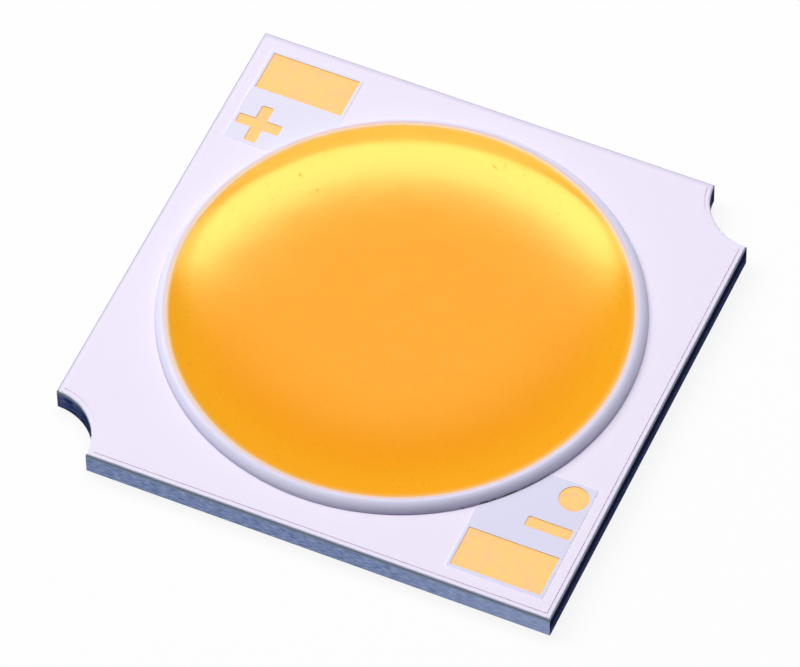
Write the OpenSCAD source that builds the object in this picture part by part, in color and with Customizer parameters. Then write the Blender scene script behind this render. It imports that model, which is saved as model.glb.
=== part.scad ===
// Chip-on-board LED light source: an aluminium plate with a white insulating layer, copper
// tracks, a white solder mask, gold-plated contacts, and strings of wire-bonded LED dies
// under yellow phosphor silicone inside a round silicone dam.
// Millimetres, +Z up, origin at the centre of the plate's back.

/* [Board] */
// Width of the board along X
board_w = 28; // [27.5:0.5:32]
// Depth of the board along Y
board_d = 28; // [27.5:0.5:32]
// Thickness of the aluminium plate
plate_t = 1.2; // [0.8:0.1:2]
// Thickness of the white insulating layer
insulator_t = 0.12; // [0.08:0.01:0.2]
// Radius of the quarter-round notches in two corners
notch_r = 3; // [2:0.1:3.4]
// Rounding of the punched top edge
edge_r = 0.1; // [0.02:0.01:0.1]

/* [Copper and mask] */
// Thickness of the copper tracks
copper_t = 0.035; // [0.018:0.001:0.07]
// Thickness of the nickel and gold plating
plating_t = 0.01; // [0.005:0.001:0.02]
// Thickness of the solder mask
mask_t = 0.04; // [0.02:0.005:0.06]
// Distance from the board's edge to the solder mask
mask_inset = 0.3; // [0.1:0.05:0.5]
// Distance from the board's side edge to a lead area
lead_side_gap = 0.9; // [0.5:0.05:1.1]
// Distance from the board's end edge to a lead area
lead_end_gap = 1; // [0.5:0.05:1.1]
// Distance from the board's centre to the inner side of a lead area, along X
lead_inner_x = 8.05; // [7.8:0.05:8.2]
// Distance from the board's centre to the inner end of the positive lead area, along Y
positive_inner_y = 7; // [6.6:0.1:7.1]
// Distance from the board's centre to the inner end of the negative lead area, along Y
negative_inner_y = 6.03; // [5.8:0.01:6.1]

/* [Contacts and marks] */
// Width of a solder pad along Y
pad_d = 2.4; // [1.8:0.1:2.5]
// Distance from a lead area's edge to the openings in the mask
opening_inset = 0.12; // [0.06:0.01:0.15]
// Length of the plus and minus marks
mark_w = 2.4; // [1.6:0.1:2.4]
// Width of the marks' strokes
mark_stroke = 0.64; // [0.3:0.02:0.8]
// Rounding of the marks' corners
mark_corner_r = 0.1; // [0.02:0.01:0.14]
// Diameter of the round test point
test_point_d = 1.53; // [1:0.01:1.6]
// Distance from the test point to the minus mark
test_point_gap = 1.02; // [0.5:0.02:1.04]

/* [Dam and phosphor] */
// Radius of the light-emitting area, at the foot of the dam
emitter_r = 11.22; // [10.8:0.02:11.3]
// Width of the dam at its foot
dam_w = 1.15; // [0.9:0.05:1.25]
// Height of the dam above the insulating layer
dam_h = 0.54; // [0.45:0.01:0.57]
// Offset of the dispensed dam along X
dam_shift_x = -0.2; // [-0.2:0.02:0.2]
// Offset of the dispensed dam along Y
dam_shift_y = 0.16; // [-0.2:0.02:0.2]
// Distance from the dam's crest in to the phosphor's edge
film_gap = 0.13; // [0.1:0.01:0.2]
// Length over which the phosphor's surface climbs to the dam
meniscus_l = 1.35; // [1:0.05:1.5]
// Share of the dam's slope that the phosphor's surface reaches at its edge
wetting = 0.8; // [0.5:0.05:0.9]

/* [Dies] */
// Number of strings, each wired across from one bus to the other
strings = 12; // [4:1:12]
// Number of dies in a string
dies_per_string = 12; // [4:1:12]
// Distance between the strings
string_pitch = 1.5; // [1:0.05:1.5]
// Side of a square die
die_w = 0.6; // [0.3:0.02:0.62]
// Thickness of a die
die_t = 0.15; // [0.1:0.01:0.17]
// Thickness of the adhesive under a die
adhesive_t = 0.02; // [0.01:0.005:0.03]
// Width of adhesive that shows round a die
adhesive_rim = 0.04; // [0.01:0.01:0.06]
// Distance from a die's edge to the foot of its wire
bond_inset = 0.1; // [0.05:0.01:0.14]
// Diameter of the gold bond wire
wire_d = 0.03; // [0.02:0.005:0.04]
// Height of a wire's loop
loop_h = 0.13; // [0.08:0.01:0.14]

/* [Bus] */
// Width of the bare plate's window between the dies and the bus
die_field_gap = 0.15; // [0.05:0.05:0.5]
// Distance from the light-emitting area's edge in to the die window
window_gap = 0.82; // [0.75:0.01:0.9]
// Distance from the die window to the bus
bus_gap = 0.05; // [0.02:0.01:0.08]
// Width of the bus
bus_w = 1.5; // [1.2:0.05:1.55]
// Gap between the ends of the two buses
bus_split = 1.6; // [1:0.1:3]
// Distance from the bus's inner edge to the foot of a wire
land_gap = 0.28; // [0.2:0.01:0.3]
// Distance that the mask's round window lies outside the dam's centre line
mask_window_gap = 0.38; // [0.36:0.01:0.4]

/* [Hidden] */
$fn = 64;
string_numbers = [1 : strings];

// How far a cutting shape reaches past what it cuts
over = 1;

// Levels
insulator_z = plate_t + insulator_t;
copper_z = insulator_z + copper_t;
bus_z = copper_z + plating_t;
die_z = plate_t + adhesive_t + die_t;

// Radii about the board's centre
window_r = emitter_r - window_gap;
bus_in_r = window_r + bus_gap;
bus_out_r = bus_in_r + bus_w;
land_r = bus_in_r + land_gap;
dam_r = emitter_r + dam_w / 2;
mask_window_r = dam_r + mask_window_gap;
die_field_r = window_r - die_field_gap;

// The dam's section is an arc of this radius, with its centre at this height
bead_r = (dam_w * dam_w / 4 + dam_h * dam_h) / (2 * dam_h);
bead_z = insulator_z + dam_h - bead_r;

// The phosphor's surface climbs to the dam along an exponential curve
film_r = dam_r - film_gap;
film_z = bead_z + sqrt(bead_r * bead_r - film_gap * film_gap);
film_slope = wetting * film_gap / (film_z - bead_z);
surface_steps = 24;
function surface_z(r) = film_z - film_slope * meniscus_l * (1 - exp((r - film_r) / meniscus_l));

// The outer corner of the lead areas, for the contact at the back left
lead_x = lead_side_gap - board_w / 2;
lead_y = board_d / 2 - lead_end_gap;
lead_w = -lead_inner_x - lead_x;

// The outer corner and the width of the openings in the mask over them
opening_x = lead_x + opening_inset;
opening_y = lead_y - opening_inset;
pad_w = lead_w - 2 * opening_inset;

// The places of the dies and of the wires' feet
function string_y(i) = (i - (strings + 1) / 2) * string_pitch;
function chord(r, y) = sqrt(r * r - y * y);
function string_reach(i) = chord(die_field_r, abs(string_y(i)) + die_w / 2) - die_w / 2;
function die_x(i, k) = string_reach(i) * (2 * k / (dies_per_string - 1) - 1);
function land_x(i) = chord(land_r, string_y(i));
foot_x = die_w / 2 - bond_inset;
function wire_start(i, k) = k == 0 ? [-land_x(i), bus_z] : [die_x(i, k - 1) + foot_x, die_z];
function wire_end(i, k) = k == dies_per_string ? [land_x(i), bus_z] : [die_x(i, k) - foot_x, die_z];

// ---- Outlines ----

module board_outline(inset) {
    difference() {
        square([board_w - 2 * inset, board_d - 2 * inset], center = true);
        for (side = [-1, 1])
            translate([side * board_w / 2, side * board_d / 2])
                circle(notch_r + inset);
    }
}

module lead_outline(inner_y, grow = 0) {
    difference() {
        translate([lead_x - grow, inner_y - grow])
            square([lead_w + 2 * grow, lead_y - inner_y + 2 * grow]);
        circle(bus_in_r);
    }
}

module half_bus_outline() {
    difference() {
        circle(bus_out_r);
        circle(bus_in_r);
        translate([-bus_split / 2, -bus_out_r - over])
            square(2 * (bus_out_r + over));
    }
}

module track_outline(inner_y) {
    union() {
        half_bus_outline();
        lead_outline(inner_y);
    }
}

module pad_outline() {
    translate([opening_x, opening_y - pad_d])
        square([pad_w, pad_d]);
}

module stroke_outline(size_x, size_y) {
    r = min(mark_corner_r, size_x / 2, size_y / 2);
    square([size_x - 2 * r, size_y], center = true);
    square([size_x, size_y - 2 * r], center = true);
    for (x = [-1, 1])
        for (y = [-1, 1])
            translate([x * (size_x / 2 - r), y * (size_y / 2 - r)])
                circle(r);
}

module plus_outline() {
    translate([opening_x + mark_w / 2, positive_inner_y + opening_inset + mark_w / 2]) {
        stroke_outline(mark_w, mark_stroke);
        stroke_outline(mark_stroke, mark_w);
    }
}

module test_point_outline() {
    translate([opening_x, negative_inner_y + opening_inset])
        translate([test_point_d / 2, test_point_d / 2])
            circle(d = test_point_d);
}

module minus_outline() {
    test_point_end = negative_inner_y + opening_inset + test_point_d;
    translate([opening_x + mark_w / 2, test_point_end + test_point_gap + mark_stroke / 2])
        stroke_outline(mark_w, mark_stroke);
}

// The negative contact is the positive one's place turned half round
module opposite() {
    rotate([0, 0, 180])
        children();
}

// ---- Plate and layers ----

module base_plate() {
    color("slategray")
        linear_extrude(plate_t)
            board_outline(0);
}

// What the rounding of an edge takes off, with the edge's corner at the origin
module edge_waste(r) {
    difference() {
        translate([-r, -r])
            square(r + over);
        translate([-r, -r])
            circle(r);
    }
}

module top_edge_waste() {
    r = min(edge_r, insulator_t * 0.9);
    for (turn = [0, 90, 180, 270]) {
        reach = (turn % 180 == 0 ? board_w : board_d) / 2;
        run = board_w + board_d;
        rotate([0, 0, turn])
            translate([reach, run / 2, insulator_z])
                rotate([90, 0, 0])
                    linear_extrude(run)
                        edge_waste(r);
    }
    for (side = [-1, 1])
        translate([side * board_w / 2, side * board_d / 2, insulator_z])
            rotate_extrude()
                translate([notch_r, 0])
                    mirror([1, 0])
                        intersection() {
                            edge_waste(r);
                            translate([-r, -r])
                                square([r + notch_r / 2, r + over]);
                        }
}

module insulator() {
    color("lavender")
        difference() {
            translate([0, 0, plate_t])
                linear_extrude(insulator_t)
                    difference() {
                        board_outline(0);
                        circle(window_r);
                    }
            top_edge_waste();
        }
}

module track(inner_y) {
    translate([0, 0, insulator_z])
        linear_extrude(copper_t)
            track_outline(inner_y);
}

module positive_track() {
    color("peru")
        track(positive_inner_y);
}

module negative_track() {
    color("peru")
        opposite()
            track(negative_inner_y);
}

// The mask lies lower on the bare insulator and steps up over the lead areas
module solder_mask() {
    color("ghostwhite")
        difference() {
            translate([0, 0, insulator_z])
                linear_extrude(mask_t)
                    board_outline(mask_inset);
            mask_waste();
        }
    color("ghostwhite")
        difference() {
            translate([0, 0, insulator_z]) {
                linear_extrude(copper_t + mask_t)
                    lead_outline(positive_inner_y, mask_t);
                opposite()
                    linear_extrude(copper_t + mask_t)
                        lead_outline(negative_inner_y, mask_t);
            }
            mask_waste();
        }
}

module mask_waste() {
    positive_track();
    negative_track();
    translate([0, 0, insulator_z - over])
        linear_extrude(2 * over) {
            circle(mask_window_r);
            pad_outline();
            plus_outline();
            opposite() {
                pad_outline();
                minus_outline();
                test_point_outline();
            }
        }
}

// ---- Plated contacts ----

module plating() {
    color("gold")
        translate([0, 0, copper_z])
            linear_extrude(plating_t)
                children();
}

module positive_pad() {
    plating()
        pad_outline();
}

module negative_pad() {
    plating()
        opposite()
            pad_outline();
}

module plus_mark() {
    plating()
        plus_outline();
}

module minus_mark() {
    plating()
        opposite()
            minus_outline();
}

module test_point() {
    plating()
        opposite()
            test_point_outline();
}

module bus_plating(inner_y) {
    intersection() {
        track_outline(inner_y);
        circle(mask_window_r);
    }
}

module positive_bus_plating() {
    plating()
        bus_plating(positive_inner_y);
}

module negative_bus_plating() {
    plating()
        opposite()
            bus_plating(negative_inner_y);
}

// ---- Dam and phosphor ----

module bead_outline() {
    intersection() {
        translate([dam_r, bead_z])
            circle(bead_r);
        translate([emitter_r - over, insulator_z])
            square([dam_w + 2 * over, dam_h + over]);
    }
}

module dam() {
    color("white")
        difference() {
            translate([dam_shift_x, dam_shift_y, 0])
                rotate_extrude()
                    bead_outline();
            solder_mask();
            positive_track();
            negative_track();
            positive_bus_plating();
            negative_bus_plating();
        }
}

// The section above the insulating layer, from the axis out to the dam
module fill_outline() {
    top = [
        for (k = [surface_steps - 1 : -1 : 0])
            let (r = film_r * sin(90 * k / surface_steps))
                [r, surface_z(r)]
    ];
    difference() {
        polygon(concat([[0, insulator_z], [dam_r, insulator_z], [dam_r, film_z]], top));
        bead_outline();
    }
}

module phosphor() {
    color("orange")
        difference() {
            union() {
                translate([dam_shift_x, dam_shift_y, 0])
                    rotate_extrude()
                        fill_outline();
                translate([0, 0, plate_t])
                    cylinder(h = insulator_t, r = window_r);
            }
            positive_track();
            negative_track();
            positive_bus_plating();
            negative_bus_plating();
            for (i = string_numbers) {
                die_adhesive(i);
                die_string(i);
                bond_wires(i);
            }
        }
}

// ---- Dies and wires ----

module at_each_die(i) {
    for (k = [0 : dies_per_string - 1])
        translate([die_x(i, k), string_y(i), plate_t])
            children();
}

module die_adhesive(i) {
    side = die_w + 2 * adhesive_rim;
    color("whitesmoke")
        at_each_die(i)
            translate([-side / 2, -side / 2, 0])
                cube([side, side, adhesive_t]);
}

module die_string(i) {
    color("lightskyblue")
        at_each_die(i)
            translate([-die_w / 2, -die_w / 2, adhesive_t])
                cube([die_w, die_w, die_t]);
}

// The bend from a wire's level run down to a foot
module wire_bend(run, rise) {
    translate([run, 0, -rise])
        rotate([90, 0, 0])
            rotate_extrude(angle = 90)
                translate([rise, 0])
                    circle(d = wire_d);
}

// Round wire that rises upright from each foot and bends over to a level run, which is kept to
// whole micrometres so that its ends meet the bends exactly
module bond_wire(start, end) {
    top = max(start[1], end[1]) + loop_h;
    start_rise = top - start[1];
    end_rise = top - end[1];
    run = round((end[0] - start[0] - start_rise - end_rise) * 500) / 1000;
    translate([start[0] + start_rise + run, 0, top]) {
        rotate([0, 90, 0])
            cylinder(h = 2 * run, d = wire_d, center = true);
        wire_bend(run, end_rise);
        mirror([1, 0, 0])
            wire_bend(run, start_rise);
    }
}

module bond_wires(i) {
    color("goldenrod")
        translate([0, string_y(i), 0])
            for (k = [0 : dies_per_string])
                bond_wire(wire_start(i, k), wire_end(i, k));
}

base_plate();
insulator();
positive_track();
negative_track();
solder_mask();
positive_pad();
negative_pad();
plus_mark();
minus_mark();
test_point();
positive_bus_plating();
negative_bus_plating();
dam();
phosphor();
for (i = string_numbers) die_adhesive(i);
for (i = string_numbers) die_string(i);
for (i = string_numbers) bond_wires(i);
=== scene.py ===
from math import cos, exp, pi, radians, sin, sqrt

import bpy
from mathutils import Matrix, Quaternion, Vector


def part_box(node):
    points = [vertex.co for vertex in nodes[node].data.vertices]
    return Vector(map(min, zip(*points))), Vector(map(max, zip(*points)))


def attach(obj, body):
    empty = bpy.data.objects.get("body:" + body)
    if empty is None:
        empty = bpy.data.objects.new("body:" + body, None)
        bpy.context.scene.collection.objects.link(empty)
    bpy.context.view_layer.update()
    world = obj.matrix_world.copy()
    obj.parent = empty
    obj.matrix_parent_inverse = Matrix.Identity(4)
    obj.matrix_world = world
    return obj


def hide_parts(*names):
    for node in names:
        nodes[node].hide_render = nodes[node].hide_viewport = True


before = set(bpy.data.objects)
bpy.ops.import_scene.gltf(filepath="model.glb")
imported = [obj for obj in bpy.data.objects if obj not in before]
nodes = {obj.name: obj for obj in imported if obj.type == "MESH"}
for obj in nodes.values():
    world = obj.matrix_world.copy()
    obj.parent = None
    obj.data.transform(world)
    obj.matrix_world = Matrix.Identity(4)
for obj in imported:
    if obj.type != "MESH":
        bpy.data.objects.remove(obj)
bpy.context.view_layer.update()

mm = 0.001
smooth = {"interpolation_type": "SMOOTHSTEP"}        # lets a Map Range ease in and out


# sRGB hex, as a painter would write it, to the linear values that nodes take
def rgb(hexText):
    parts = [int(hexText[i:i + 2], 16) / 255 for i in (1, 3, 5)]
    return [c / 12.92 if c <= 0.04045 else ((c + 0.055) / 1.055) ** 2.4 for c in parts] + [1]


# adds a node with its settings, colour stops and inputs, and gives back its first output;
# the inputs are in the order of the sockets, or in a dictionary by name
def add(tree, kind, *inputs, stops=(), **settings):
    node = tree.nodes.new("ShaderNode" + kind)
    for name, value in settings.items():
        setattr(node, name, value)
    if stops:
        points = node.color_ramp.elements
        while len(points) < len(stops):
            points.new(0.5)
        for point, (at, colour) in zip(points, stops):
            point.position, point.color = at, rgb(colour)
    filled = inputs[0].items() if inputs and isinstance(inputs[0], dict) else enumerate(inputs)
    for name, value in filled:
        if isinstance(value, bpy.types.NodeSocket):
            tree.links.new(value, node.inputs[name])
        else:
            node.inputs[name].default_value = rgb(value) if isinstance(value, str) else value
    return node.outputs[0]


# a new material, its node tree, and where a point lies on the part
def newMaterial(name):
    material = bpy.data.materials.new(name)
    material.use_nodes = True
    return material, material.node_tree, add(material.node_tree, "TexCoord").node.outputs["Object"]


def setShader(tree, **values):
    shader = tree.nodes["Principled BSDF"]
    for name, value in values.items():
        socket = shader.inputs[name.replace("_", " ")]
        if isinstance(value, bpy.types.NodeSocket):
            tree.links.new(value, socket)
        else:
            socket.default_value = rgb(value) if isinstance(value, str) else value


# 0 on faces that stand upright and 1 on those that lie level, by how far the normal points up or down
def levelShare(tree, upright, level):
    facing = add(tree, "TexCoord").node.outputs["Normal"]
    up = add(tree, "Math", add(tree, "SeparateXYZ", facing).node.outputs["Z"], operation="ABSOLUTE")
    return add(tree, "MapRange", up, upright, level, **smooth)


# how far a point lies from the middle planes, as X and Y
def awayFromMiddle(tree, place):
    return add(tree, "SeparateXYZ", add(tree, "VectorMath", place, operation="ABSOLUTE")).node.outputs


# 1 inside a node's box seen from above, widened by a margin
def within(tree, place, node, margin):
    low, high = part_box(node)
    centre, half = (low + high) / 2, (high - low) / 2
    away = awayFromMiddle(tree, add(tree, "VectorMath", place, centre, operation="SUBTRACT"))
    inX = add(tree, "Math", away["X"], half.x + margin, operation="LESS_THAN")
    inY = add(tree, "Math", away["Y"], half.y + margin, operation="LESS_THAN")
    return add(tree, "Math", inX, inY, operation="MULTIPLY")


def giveMaterial(material, *objects):
    for obj in objects:
        obj.data.materials.clear()
        obj.data.materials.append(material)


def nodesNamed(start):
    return [obj for name, obj in nodes.items() if name.startswith(start)]


camera = {
    "azimuth": 24.77,       # degrees to the right of the front
    "elevation": 52.99,
    "roll": 1.02,
    "distance": 405.5 * mm,
    "lens": 364.9,          # mm, on a sensor of the next line's width
    "sensor": 36,
    "aimHeight": 1.3 * mm,
    "aimRight": -0.19 * mm,
    "aimUp": -0.76 * mm,
    "clip": (0.01, 10),
}


def makeCamera(c):
    a, e = radians(c["azimuth"]), radians(c["elevation"])
    back = Vector((sin(a) * cos(e), -cos(a) * cos(e), sin(e)))
    turn = (-back).to_track_quat("-Z", "Y") @ Quaternion((0, 0, 1), -radians(c["roll"]))
    aim = Vector((0, 0, c["aimHeight"])) + turn @ Vector((c["aimRight"], c["aimUp"], 0))
    bpy.ops.object.camera_add()
    cam = bpy.context.object
    cam.name = "camera"
    cam.location = aim + back * c["distance"]
    cam.rotation_mode = "QUATERNION"
    cam.rotation_quaternion = turn
    cam.data.lens = c["lens"]
    cam.data.sensor_width = c["sensor"]
    cam.data.clip_start, cam.data.clip_end = c["clip"]
    bpy.context.scene.camera = cam


makeCamera(camera)
print("camera set")

studio = {
    "floorSide": 6.0,
    "floorColour": "#ffffff",
    "floorGlow": 0.88,          # share of the floor that shows as plain white
    "sweep": "#ffffff",         # the backdrop near the floor, strength 1
    "sweepTop": 0.12,           # sine of the height at which it starts to darken
    "ceiling": "#959595",       # the backdrop overhead
    "ceilingEdge": 0.45,        # sine of the height from which it is all ceiling
    "bounce": "#62646e",        # what the dim room gives the matt surfaces
    "lampDistance": 1.0,
}

# direction and height above the floor in degrees, size in metres, and brightness as a mirror shows it;
# the three ellipses overlap, so their reflection in the phosphor fades towards its ends
lamps = {
    "back_softbox": {
        "shape": "ELLIPSE", "around": 112, "above": 58.4, "wide": 0.76, "high": 0.13, "brightness": 2.2},
    "back_middle": {
        "shape": "ELLIPSE", "around": 113, "above": 58.4, "wide": 0.56, "high": 0.15, "brightness": 4.5},
    "back_core": {
        "shape": "ELLIPSE", "around": 116, "above": 58.4, "wide": 0.36, "high": 0.165, "brightness": 5.7},
    "top_strip": {
        "shape": "RECTANGLE", "around": 114, "above": 70, "wide": 0.60, "high": 0.24, "brightness": 4.5},
    "left_softbox": {
        "shape": "RECTANGLE", "around": 170, "above": 47, "wide": 0.55, "high": 0.60, "brightness": 5.8},
}


# 1 for rays that show a thing to the eye, directly or in metal or glass
def seenShare(tree):
    rays = add(tree, "LightPath").node.outputs
    share = rays["Is Camera Ray"]
    for name in ("Is Glossy Ray", "Is Transmission Ray"):
        share = add(tree, "Math", share, rays[name], operation="MAXIMUM")
    return share


# white paper that shows as plain white and still keeps the object's shadow
def makeFloor(s):
    bpy.ops.object.select_all(action="DESELECT")
    bpy.ops.mesh.primitive_plane_add(size=s["floorSide"])
    floor = bpy.context.object
    floor.name = "floor"
    material, tree = newMaterial("white_studio_paper")[:2]
    setShader(tree, Base_Color=s["floorColour"], Roughness=1.0, Specular_IOR_Level=0.0)
    share = add(tree, "Math", seenShare(tree), s["floorGlow"], operation="MULTIPLY")
    glow = add(tree, "Emission", {"Strength": 1.0})
    mix = add(tree, "MixShader", share, tree.nodes["Principled BSDF"].outputs[0], glow)
    tree.links.new(mix, tree.nodes["Material Output"].inputs["Surface"])
    giveMaterial(material, floor)


def makeWorld(s):
    world = bpy.data.worlds.new("studio")
    bpy.context.scene.world = world
    world.use_nodes = True
    tree = world.node_tree
    direction = add(tree, "TexCoord").node.outputs["Generated"]
    height = add(tree, "SeparateXYZ", direction).node.outputs["Z"]
    overhead = add(tree, "MapRange", height, s["sweepTop"], s["ceilingEdge"], **smooth)
    backdrop = add(tree, "MixRGB", overhead, s["sweep"], s["ceiling"])
    colour = add(tree, "MixRGB", seenShare(tree), s["bounce"], backdrop)
    tree.links.new(colour, tree.nodes["Background"].inputs["Color"])


def makeLamp(name, lamp, far):
    a, e = radians(lamp["around"]), radians(lamp["above"])
    away = Vector((cos(a) * cos(e), sin(a) * cos(e), sin(e)))
    bpy.ops.object.light_add(type="AREA", location=away * far)
    obj = bpy.context.object
    obj.name = name
    obj.rotation_mode = "QUATERNION"
    obj.rotation_quaternion = away.to_track_quat("Z", "Y")
    obj.data.shape = lamp["shape"]
    obj.data.size, obj.data.size_y = lamp["wide"], lamp["high"]
    area = lamp["wide"] * lamp["high"] * (pi / 4 if lamp["shape"] == "ELLIPSE" else 1)
    obj.data.energy = lamp["brightness"] * pi * area


makeFloor(studio)
makeWorld(studio)
for name, lamp in lamps.items():
    makeLamp(name, lamp, studio["lampDistance"])

bpy.context.scene.view_settings.view_transform = "Standard"
print("studio set")

# the phosphor is one smooth fill that climbs to the dam
phosphor = {
    "segments": 256,
    "rings": 48,
    "climb": 1.35 * mm,      # length over which the surface climbs to the dam
    "edgeSlope": 0.171,      # rise per run at the dam
    "bowl": 0.0012 / mm,     # how fast the whole surface sinks towards the middle
    "bottom": 1.375 * mm,    # just above the dies
    "footRadius": 11.28 * mm,
    "smoothAngle": 30,
}


def makePhosphor(p):
    low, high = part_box("phosphor")
    centre = (low + high) / 2
    edge = (high.x - low.x) / 2
    climb = p["climb"]
    surface = lambda r: (high.z - p["edgeSlope"] * climb * (1 - exp((r - edge) / climb))
                         - p["bowl"] / 2 * (edge ** 2 - r ** 2))
    bpy.ops.object.select_all(action="DESELECT")
    bpy.ops.mesh.primitive_circle_add(
        vertices=p["segments"], radius=edge, fill_type="NGON", location=(centre.x, centre.y, high.z))
    fill = bpy.context.object
    fill.name = "phosphor_fill"
    bpy.ops.object.mode_set(mode="EDIT")
    bpy.ops.mesh.select_mode(type="FACE")
    bpy.ops.mesh.select_all(action="SELECT")
    radius = edge
    for k in range(1, p["rings"] + 1):
        nextRadius = edge * cos(pi / 2 * k / (p["rings"] + 1))
        bpy.ops.mesh.inset(thickness=radius - nextRadius, depth=surface(nextRadius) - surface(radius))
        radius = nextRadius
    bpy.ops.mesh.select_all(action="SELECT")
    bpy.ops.mesh.select_mode(type="EDGE")
    bpy.ops.mesh.region_to_loop()
    foot = p["footRadius"] / edge
    bpy.ops.mesh.extrude_region_move(TRANSFORM_OT_translate={"value": (0, 0, p["bottom"] - high.z)})
    bpy.ops.transform.resize(value=(foot, foot, 1), center_override=(centre.x, centre.y, 0))
    bpy.ops.mesh.edge_face_add()
    bpy.ops.mesh.select_all(action="SELECT")
    bpy.ops.mesh.normals_make_consistent(inside=False)
    bpy.ops.object.mode_set(mode="OBJECT")
    bpy.ops.object.transform_apply(location=True, rotation=True, scale=True)
    bpy.ops.object.shade_smooth_by_angle(angle=radians(p["smoothAngle"]))
    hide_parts("phosphor")
    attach(fill, "root")
    return fill


phosphorFill = makePhosphor(phosphor)
print("phosphor made")

filmMiddle = (-0.29 * mm, 0.20 * mm)     # middle of the phosphor's thin film over the dam


# distance from that middle, in metres
def filmRadius(tree, place):
    x, y = filmMiddle
    flat = add(tree, "Mapping", {"Vector": place, "Location": (-x, -y, 0), "Scale": (1, 1, 0)})
    return add(tree, "VectorMath", flat, operation="LENGTH").node.outputs["Value"]


phosphorLook = {
    "colour": "#ff9e10", "paler": "#ffa216",
    "grain": 0.09 * mm, "grainDepth": 0.0016 * mm,      # the powder, coarser than its real 0.02 mm to show
    "edge": "#ffac1a", "edgeFrom": 8.5 * mm, "edgeTo": 11.2 * mm,
    "rim": [(0, "#ffac26"), (0.5, "#ffb648"), (1, "#fac070")], "rimFrom": 11.32 * mm, "rimTo": 11.72 * mm,
    "swell": 1.6 * mm, "swellDepth": 0.002 * mm,        # slow unevenness of the cured surface
    "speck": "#da9216", "speckSpacing": 0.38 * mm, "speckSize": 0.12, "speckRoughness": 0.6,
    "gloss": "#fff78e", "roughness": 0.09, "ior": 1.53,
    "glow": "#ff9a10", "paintedGlowStrength": 0.07,            # painted glow: a little light of its own, standing in for the phosphor's faint fluorescence in daylight
}


# Silicone filled with yellow phosphor powder, dispensed and cured: opaque, glossy, with fine grains
def phosphorSilicone(p):
    material, tree, place = newMaterial("phosphor_silicone")
    grain = add(tree, "TexNoise", {"Vector": place, "Scale": 1 / p["grain"], "Detail": 3})
    colour = add(tree, "MixRGB", grain, p["colour"], p["paler"])
    radius = filmRadius(tree, place)
    # painted light: the orange turns lighter towards the edge, making up for light the surface there
    # mirrors less
    nearEdge = add(tree, "MapRange", radius, p["edgeFrom"], p["edgeTo"], **smooth)
    colour = add(tree, "MixRGB", nearEdge, colour, p["edge"])
    cells = add(tree, "TexVoronoi", {"Vector": place, "Scale": 1 / p["speckSpacing"]})
    speck = add(tree, "Math", cells, p["speckSize"], operation="LESS_THAN")
    colour = add(tree, "MixRGB", speck, colour, p["speck"])
    # the film thins out over the white dam, so its rim is paler
    out = add(tree, "MapRange", radius, p["rimFrom"], p["rimTo"], **smooth)
    colour = add(tree, "MixRGB", out, colour, add(tree, "ValToRGB", out, stops=p["rim"]))
    waves = add(tree, "TexNoise", {"Vector": place, "Scale": 1 / p["swell"]})
    swell = add(tree, "Bump", {"Height": waves, "Strength": 1.0, "Distance": p["swellDepth"]})
    bump = add(tree, "Bump", {
        "Height": grain, "Strength": 1.0, "Distance": p["grainDepth"], "Normal": swell})
    roughness = add(tree, "MapRange", speck, 0.0, 1.0, p["roughness"], p["speckRoughness"])
    setShader(tree, Base_Color=colour, Roughness=roughness, IOR=p["ior"], Specular_Tint=p["gloss"],
              Normal=bump, Emission_Color=p["glow"], Emission_Strength=p["paintedGlowStrength"])
    return material


siliconeLook = {
    "film": [(0, "#fdc362"), (0.25, "#fedc9e"), (0.5, "#f4d3c0"), (0.75, "#ead0e0"), (1, "#e9e7fd")],
    "filmFrom": 11.58 * mm, "filmTo": 11.95 * mm,
    "wave": 0.6 * mm, "waveReach": 0.05 * mm,           # how the film's edge wanders
    "foot": "#a6adca", "footFrom": 1.40 * mm, "footTo": 1.62 * mm, "footShadeShare": 0.45,
    "creep": "#54481e", "creepSize": 0.45 * mm, "creepCut": (0.46, 0.54),
    "creepTop": 1.46 * mm, "creepSoft": 0.03 * mm,
    "creepHalfAngle": 19, "creepFullAngle": 8.13,       # degrees either side of a pad's diagonal
    "roughness": 0.35, "ior": 1.43,
}
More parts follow.
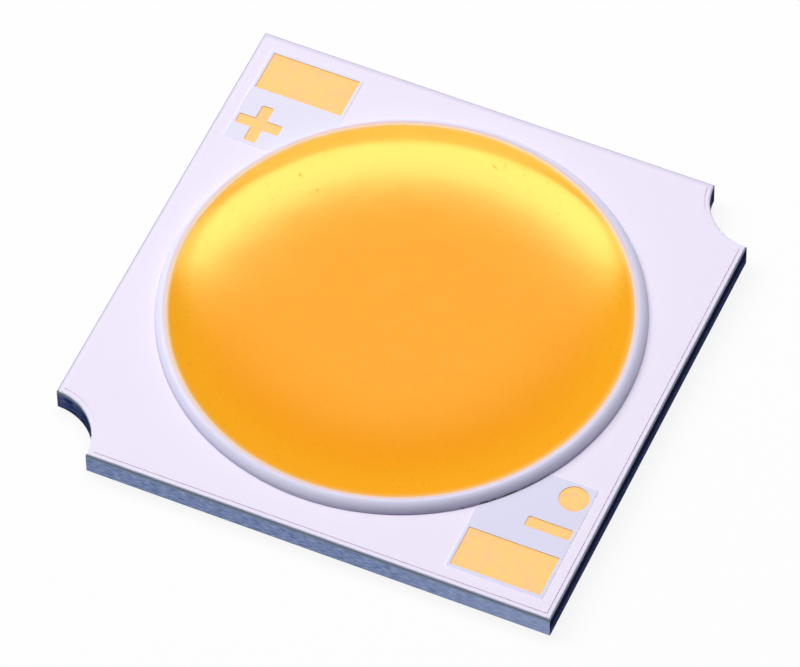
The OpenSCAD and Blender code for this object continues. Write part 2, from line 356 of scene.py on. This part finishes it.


# White silicone, dispensed as a round bead: smooth, a little glossy, stained by the film on its inner side,
# with painted shade at its outer foot
def whiteSilicone(p):
    material, tree, place = newMaterial("white_silicone")
    wave = add(tree, "TexNoise", {"Vector": place, "Scale": 1 / p["wave"]})
    wave = add(tree, "MapRange", wave, 0.0, 1.0, -p["waveReach"], p["waveReach"])
    radius = add(tree, "Math", filmRadius(tree, place), wave, operation="ADD")
    along = add(tree, "MapRange", radius, p["filmFrom"], p["filmTo"])
    colour = add(tree, "ValToRGB", along, stops=p["film"])
    axes = add(tree, "SeparateXYZ", place).node.outputs
    out = add(tree, "MapRange", radius, p["filmFrom"], p["filmTo"], **smooth)
    # painted shade: the outer side of the bead darkens towards its foot on the mask
    low = add(tree, "MapRange", axes["Z"], p["footFrom"], p["footTo"], p["footShadeShare"], 0.0, **smooth)
    colour = add(tree, "MixRGB", add(tree, "Math", low, out, operation="MULTIPLY"), colour, p["foot"])
    # brown patches at the foot, where the buses under it run out to the pads; on the diagonal that
    # leads to a pad, the difference of X and Y is the radius times the root of 2
    apart = add(tree, "Math", axes["X"], axes["Y"], operation="SUBTRACT")
    apart = add(tree, "Math", add(tree, "Math", apart, operation="ABSOLUTE"), radius, operation="DIVIDE")
    reach, full = [sqrt(2) * cos(radians(p[angle])) for angle in ("creepHalfAngle", "creepFullAngle")]
    nearLead = add(tree, "MapRange", apart, reach, full, **smooth)
    patch = add(tree, "TexNoise", {"Vector": place, "Scale": 1 / p["creepSize"], "Detail": 3})
    patch = add(tree, "MapRange", patch, *p["creepCut"], **smooth)
    patch = add(tree, "Math", patch, nearLead, operation="MULTIPLY")
    creepFull = p["creepTop"] - p["creepSoft"]
    atFoot = add(tree, "MapRange", axes["Z"], creepFull, p["creepTop"], 1.0, 0.0, **smooth)
    patch = add(tree, "Math", patch, atFoot, operation="MULTIPLY")
    colour = add(tree, "MixRGB", patch, colour, p["creep"])
    setShader(tree, Base_Color=colour, Roughness=p["roughness"], IOR=p["ior"])
    return material


goldNodes = ("positive_pad", "negative_pad", "plus_mark", "minus_mark", "test_point")

maskLook = {
    "colour": "#f3e9fb", "paler": "#f6edfd", "cloud": 3 * mm,
    "rise": 0.035 * mm, "riseSoft": 0.001 * mm, "riseTop": 0.01 * mm,       # its step up over the copper
    "frontLead": "#e1dff5", "backLead": "#ece8fa", "leadTurn": 2 * mm,
    "edge": "#b89cb8", "copperStepHighlight": "#e6e8ff", "openingShadowLine": "#b4603a", "openingMargin": 0.03 * mm,
    "upright": 0.4, "level": 0.6, "stepMirror": 0.85, "paintedStepGlow": 0.40,
    "peel": 0.25 * mm, "peelDepth": 0.004 * mm, "peelStrength": 0.15, "roughness": 0.5,
}


# White solder mask, printed and cured: matte with a faint peel, cooler where copper lies under it
def solderMask(p):
    material, tree, place = newMaterial("white_solder_mask")
    cloud = add(tree, "TexNoise", {"Vector": place, "Scale": 1 / p["cloud"]})
    colour = add(tree, "MixRGB", cloud, p["colour"], p["paler"])
    axes = add(tree, "SeparateXYZ", place).node.outputs
    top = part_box("solder_mask")[1].z
    plainTop = top - p["rise"]
    onCopper = add(tree, "MapRange", axes["Z"], plainTop + p["riseSoft"], top - p["riseTop"], **smooth)
    towardsBack = add(tree, "MapRange", axes["Y"], -p["leadTurn"], p["leadTurn"], **smooth)
    lead = add(tree, "MixRGB", towardsBack, p["frontLead"], p["backLead"])
    colour = add(tree, "MixRGB", onCopper, colour, lead)
    # the step walls are painted as the lines they show: a mauve shade line at the print's own edge, a
    # bluish painted highlight where it steps down from the copper, and a brown painted shadow line round
    # its openings with gold
    high = add(tree, "MapRange", axes["Z"], plainTop - p["riseSoft"], plainTop + p["riseSoft"], **smooth)
    edge = add(tree, "MixRGB", high, p["edge"], p["copperStepHighlight"])
    opening = within(tree, place, goldNodes[0], p["openingMargin"])
    for node in goldNodes[1:]:
        other = within(tree, place, node, p["openingMargin"])
        opening = add(tree, "Math", opening, other, operation="MAXIMUM")
    edge = add(tree, "MixRGB", opening, edge, p["openingShadowLine"])
    level = levelShare(tree, p["upright"], p["level"])
    colour = add(tree, "MixRGB", level, edge, colour)
    peel = add(tree, "TexNoise", {"Vector": place, "Scale": 1 / p["peel"]})
    bump = add(tree, "Bump", {"Height": peel, "Strength": p["peelStrength"], "Distance": p["peelDepth"]})
    # its thin steps mirror what they stand on, so they read as soft slopes
    mirror = add(tree, "MapRange", level, 0.0, 1.0, p["stepMirror"], 0.0)
    # and they glow a little, painted light that lifts the shade they cast on themselves
    glow = add(tree, "MapRange", level, 0.0, 1.0, p["paintedStepGlow"], 0.0)
    setShader(tree, Base_Color=colour, Metallic=mirror, Roughness=p["roughness"], Normal=bump,
              Emission_Color=edge, Emission_Strength=glow)
    return material


resinLook = {
    "colour": "#efe8fa", "paler": "#f5effd", "grain": 0.10 * mm, "roughness": 0.55,
    "far": "#dccfe8", "farWidth": 0.6 * mm, "farShare": 0.6,
    "line": "#a0a1c0", "lineWidth": 0.12 * mm, "lineFull": 0.3,         # the part of its width that is full
    "cut": "#62717c", "cutTop": 0.035 * mm, "cutDepth": 0.075 * mm,
}


# Glass-filled white resin under the tracks: matte, and darker on its sides below the top
def whiteResin(p):
    material, tree, place = newMaterial("white_resin")
    grain = add(tree, "TexNoise", {"Vector": place, "Scale": 1 / p["grain"], "Detail": 3})
    colour = add(tree, "MixRGB", grain, p["colour"], p["paler"])
    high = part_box("insulator")[1]
    axes = add(tree, "SeparateXYZ", place).node.outputs
    # a mauve band along the far edge, and painted shade as a dark line on the rounded outermost edge all
    # round
    band = add(tree, "MapRange", axes["Y"], high.y - p["farWidth"], high.y, 0.0, p["farShare"], **smooth)
    colour = add(tree, "MixRGB", band, colour, p["far"])
    away = awayFromMiddle(tree, place)
    out = add(tree, "Math", away["X"], away["Y"], operation="MAXIMUM")
    lineStart, lineFull = high.x - p["lineWidth"], high.x - p["lineFull"] * p["lineWidth"]
    line = add(tree, "MapRange", out, lineStart, lineFull, **smooth)
    colour = add(tree, "MixRGB", line, colour, p["line"])
    cut = add(tree, "MapRange", axes["Z"], high.z - p["cutDepth"], high.z - p["cutTop"], 1.0, 0.0, **smooth)
    colour = add(tree, "MixRGB", cut, colour, p["cut"])
    setShader(tree, Base_Color=colour, Roughness=p["roughness"])
    return material


goldLook = {
    "colour": "#e6c274", "paler": "#edcf96", "roughness": 0.75,
    "grain": 0.06 * mm, "grainDepth": 0.003 * mm, "grainStrength": 0.2,
    "rosy": "#e9c296", "blotch": 0.5 * mm, "blotchCut": (0.4, 0.65), "blotchShare": 0.6,
    "stain": "#b8713c", "stainSize": 0.22 * mm, "stainCut": (0.72, 0.80), "stainShare": 0.7,
}


# Immersion gold over nickel on rolled copper: satin, finely mottled, with a few tarnish spots
def goldPlating(p):
    material, tree, place = newMaterial("gold_plating")
    grain = add(tree, "TexNoise", {"Vector": place, "Scale": 1 / p["grain"], "Detail": 4})
    colour = add(tree, "MixRGB", grain, p["colour"], p["paler"])
    blotch = add(tree, "TexNoise", {"Vector": place, "Scale": 1 / p["blotch"], "Detail": 3})
    blotch = add(tree, "MapRange", blotch, *p["blotchCut"], 0.0, p["blotchShare"], **smooth)
    colour = add(tree, "MixRGB", blotch, colour, p["rosy"])
    stain = add(tree, "TexNoise", {"Vector": place, "Scale": 1 / p["stainSize"]})
    stain = add(tree, "MapRange", stain, *p["stainCut"], 0.0, p["stainShare"], **smooth)
    colour = add(tree, "MixRGB", stain, colour, p["stain"])
    bump = add(tree, "Bump", {"Height": grain, "Strength": p["grainStrength"], "Distance": p["grainDepth"]})
    setShader(tree, Base_Color=colour, Metallic=1.0, Roughness=p["roughness"], Normal=bump)
    return material


shadedBusLook = {
    "tones": [(0.3, "#3a3026"), (0.7, "#7d6230")], "grain": 0.1 * mm,
    "roughness": 0.55,
}


# The same plating in the gap at the dam's foot: brown and dark as painted shade of the dam, and dull
def shadedBusPlating(p):
    material, tree, place = newMaterial("shaded_bus_plating")
    grain = add(tree, "TexNoise", {"Vector": place, "Scale": 1 / p["grain"], "Detail": 3})
    colour = add(tree, "ValToRGB", grain, stops=p["tones"])
    setShader(tree, Base_Color=colour, Metallic=1.0, Roughness=p["roughness"])
    return material


aluminiumLook = {
    "punched": [(0.32, "#5a6a94"), (0.48, "#8292ba"), (0.6, "#9fabd2"), (0.75, "#c2cce4")],
    "corner": "#b4c0e0", "cornerFrom": 2 * mm, "cornerShare": 0.35,
    "sideShade": [(0.3, "#3a4060"), (0.6, "#5c6488"), (0.75, "#98a0bc")],
    "sideTopShade": "#363b54", "sideShadeFrom": 0.3, "sideShadeTo": 0.65,          # shares of the plate's thickness
    "notchShade": [(0.3, "#242c46"), (0.5, "#46507a"), (0.75, "#858db2")],
    "skin": 0.03 * mm, "skinFull": 0.01 * mm,                           # how deep a side's finish reaches
    "smear": "#84969f", "sideEdgeShade": "#2c3c4a",                       # resin and tarnish over the edges, darker on the left and right sides as painted shade
    "topEdge": 0.20 * mm, "topFull": 0.06 * mm, "topShare": 0.9,
    "bottomEdge": 0.07 * mm, "bottomShare": 0.7,
    "streak": 0.075 * mm, "streakLength": 0.5 * mm, "streakBreakup": 0.6,
    "streakDepth": 0.01 * mm, "streakStrength": 0.4,
    "rolled": [(0.3, "#9ba1ac"), (0.7, "#b9bec8")], "rollWidth": 0.12 * mm, "rollLength": 3 * mm,
    "upright": 0.8, "level": 0.95,
    "roughness": 0.5, "glancing": "#38404e",
}


# Rolled aluminium sheet, cut from its panel: front and back punched and streaked along the edge,
# left and right painted dark as shade, the two notches painted dark blue as shade, and a smeared roll-over
# along the top edges
def cutAluminium(p):
    material, tree, place = newMaterial("cut_aluminium")
    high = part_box("base_plate")[1]
    along = p["streak"] / p["streakLength"]
    streaks = add(tree, "Mapping", {"Vector": place, "Scale": (along, along, 1)})
    streaks = add(tree, "TexNoise", {
        "Vector": streaks, "Scale": 1 / p["streak"], "Detail": 4, "Roughness": p["streakBreakup"]})
    axes = add(tree, "SeparateXYZ", place).node.outputs
    away = awayFromMiddle(tree, place)
    onSide, onFront = [
        add(tree, "MapRange", away[axis], reach - p["skin"], reach - p["skinFull"], **smooth)
        for axis, reach in (("X", high.x), ("Y", high.y))]
    # painted light: the punched front and back are lighter towards their right end
    punched = add(tree, "ValToRGB", streaks, stops=p["punched"])
    corner = add(tree, "MapRange", axes["X"], p["cornerFrom"], high.x, 0.0, p["cornerShare"], **smooth)
    punched = add(tree, "MixRGB", corner, punched, p["corner"])
    # painted shade: the notch walls, away from the four sides, are dark blue
    colour = add(tree, "MixRGB", onFront, add(tree, "ValToRGB", streaks, stops=p["notchShade"]), punched)
    # painted shade: the left and right sides are dark
    colour = add(tree, "MixRGB", onSide, colour, add(tree, "ValToRGB", streaks, stops=p["sideShade"]))
    # painted shade: the upper half of the left and right sides is darker still
    upperHalf = add(tree, "MapRange", axes["Z"], p["sideShadeFrom"] * high.z, p["sideShadeTo"] * high.z, **smooth)
    sideShade = add(tree, "Math", onSide, upperHalf, operation="MULTIPLY")
    colour = add(tree, "MixRGB", sideShade, colour, p["sideTopShade"])
    topStart, topFull = high.z - p["topEdge"], high.z - p["topFull"]
    upper = add(tree, "MapRange", axes["Z"], topStart, topFull, 0.0, p["topShare"], **smooth)
    lower = add(tree, "MapRange", axes["Z"], 0.0, p["bottomEdge"], p["bottomShare"], 0.0, **smooth)
    smear = add(tree, "MixRGB", onSide, p["smear"], p["sideEdgeShade"])
    colour = add(tree, "MixRGB", add(tree, "Math", upper, lower, operation="MAXIMUM"), colour, smear)
    # the level faces show the sheet as it was rolled, along X
    rolled = add(tree, "Mapping", {"Vector": place, "Scale": (p["rollWidth"] / p["rollLength"], 1, 1)})
    rolled = add(tree, "TexNoise", {"Vector": rolled, "Scale": 1 / p["rollWidth"], "Detail": 4})
    rolled = add(tree, "ValToRGB", rolled, stops=p["rolled"])
    colour = add(tree, "MixRGB", levelShare(tree, p["upright"], p["level"]), colour, rolled)
    bump = add(tree, "Bump", {
        "Height": streaks, "Strength": p["streakStrength"], "Distance": p["streakDepth"]})
    setShader(tree, Base_Color=colour, Metallic=1.0, Roughness=p["roughness"], Specular_Tint=p["glancing"],
              Normal=bump)
    return material


copperLook = {
    "tones": [(0.3, "#a8623c"), (0.7, "#cf8a62")], "grain": 0.05 * mm,
    "roughness": 0.4,
}


# Rolled copper foil, etched: finely mottled and half bright
def copperFoil(p):
    material, tree, place = newMaterial("copper_foil")
    grain = add(tree, "TexNoise", {"Vector": place, "Scale": 1 / p["grain"], "Detail": 3})
    colour = add(tree, "ValToRGB", grain, stops=p["tones"])
    setShader(tree, Base_Color=colour, Metallic=1.0, Roughness=p["roughness"])
    return material


dieLook = {
    "tones": [(0.35, "#8fa4c8"), (0.65, "#b4c4e0")], "cloud": 0.2 * mm,
    "roughness": 0.1, "ior": 1.77,
}


# Sapphire chip with a clear electrode: cool blue-grey and polished
def sapphireDie(p):
    material, tree, place = newMaterial("sapphire_die")
    cloud = add(tree, "TexNoise", {"Vector": place, "Scale": 1 / p["cloud"]})
    colour = add(tree, "ValToRGB", cloud, stops=p["tones"])
    setShader(tree, Base_Color=colour, Roughness=p["roughness"], IOR=p["ior"])
    return material


adhesiveLook = {
    "tones": [(0.35, "#e6e6e0"), (0.65, "#f4f4ee")], "cloud": 0.1 * mm,
    "roughness": 0.3, "ior": 1.43,
}


# Die-attach silicone, cured: pale and a little glossy under the chip
def dieAdhesive(p):
    material, tree, place = newMaterial("die_adhesive")
    cloud = add(tree, "TexNoise", {"Vector": place, "Scale": 1 / p["cloud"]})
    colour = add(tree, "ValToRGB", cloud, stops=p["tones"])
    setShader(tree, Base_Color=colour, Roughness=p["roughness"], IOR=p["ior"])
    return material


wireLook = {
    "tones": [(0.35, "#eebb58"), (0.65, "#ffd27a")], "grain": 0.05 * mm,
    "roughness": 0.25,
}


# Drawn gold wire: bright and smooth
def goldWire(p):
    material, tree, place = newMaterial("gold_wire")
    grain = add(tree, "TexNoise", {"Vector": place, "Scale": 1 / p["grain"]})
    colour = add(tree, "ValToRGB", grain, stops=p["tones"])
    setShader(tree, Base_Color=colour, Metallic=1.0, Roughness=p["roughness"])
    return material


giveMaterial(phosphorSilicone(phosphorLook), phosphorFill, nodes["phosphor"])
giveMaterial(whiteSilicone(siliconeLook), nodes["dam"])
giveMaterial(solderMask(maskLook), nodes["solder_mask"])
giveMaterial(whiteResin(resinLook), nodes["insulator"])
giveMaterial(goldPlating(goldLook), *[nodes[name] for name in goldNodes])
giveMaterial(shadedBusPlating(shadedBusLook), nodes["positive_bus_plating"], nodes["negative_bus_plating"])
giveMaterial(cutAluminium(aluminiumLook), nodes["base_plate"])
giveMaterial(copperFoil(copperLook), nodes["positive_track"], nodes["negative_track"])
giveMaterial(sapphireDie(dieLook), *nodesNamed("die_string"))
giveMaterial(dieAdhesive(adhesiveLook), *nodesNamed("die_adhesive"))
giveMaterial(goldWire(wireLook), *nodesNamed("bond_wires"))
print("materials given")
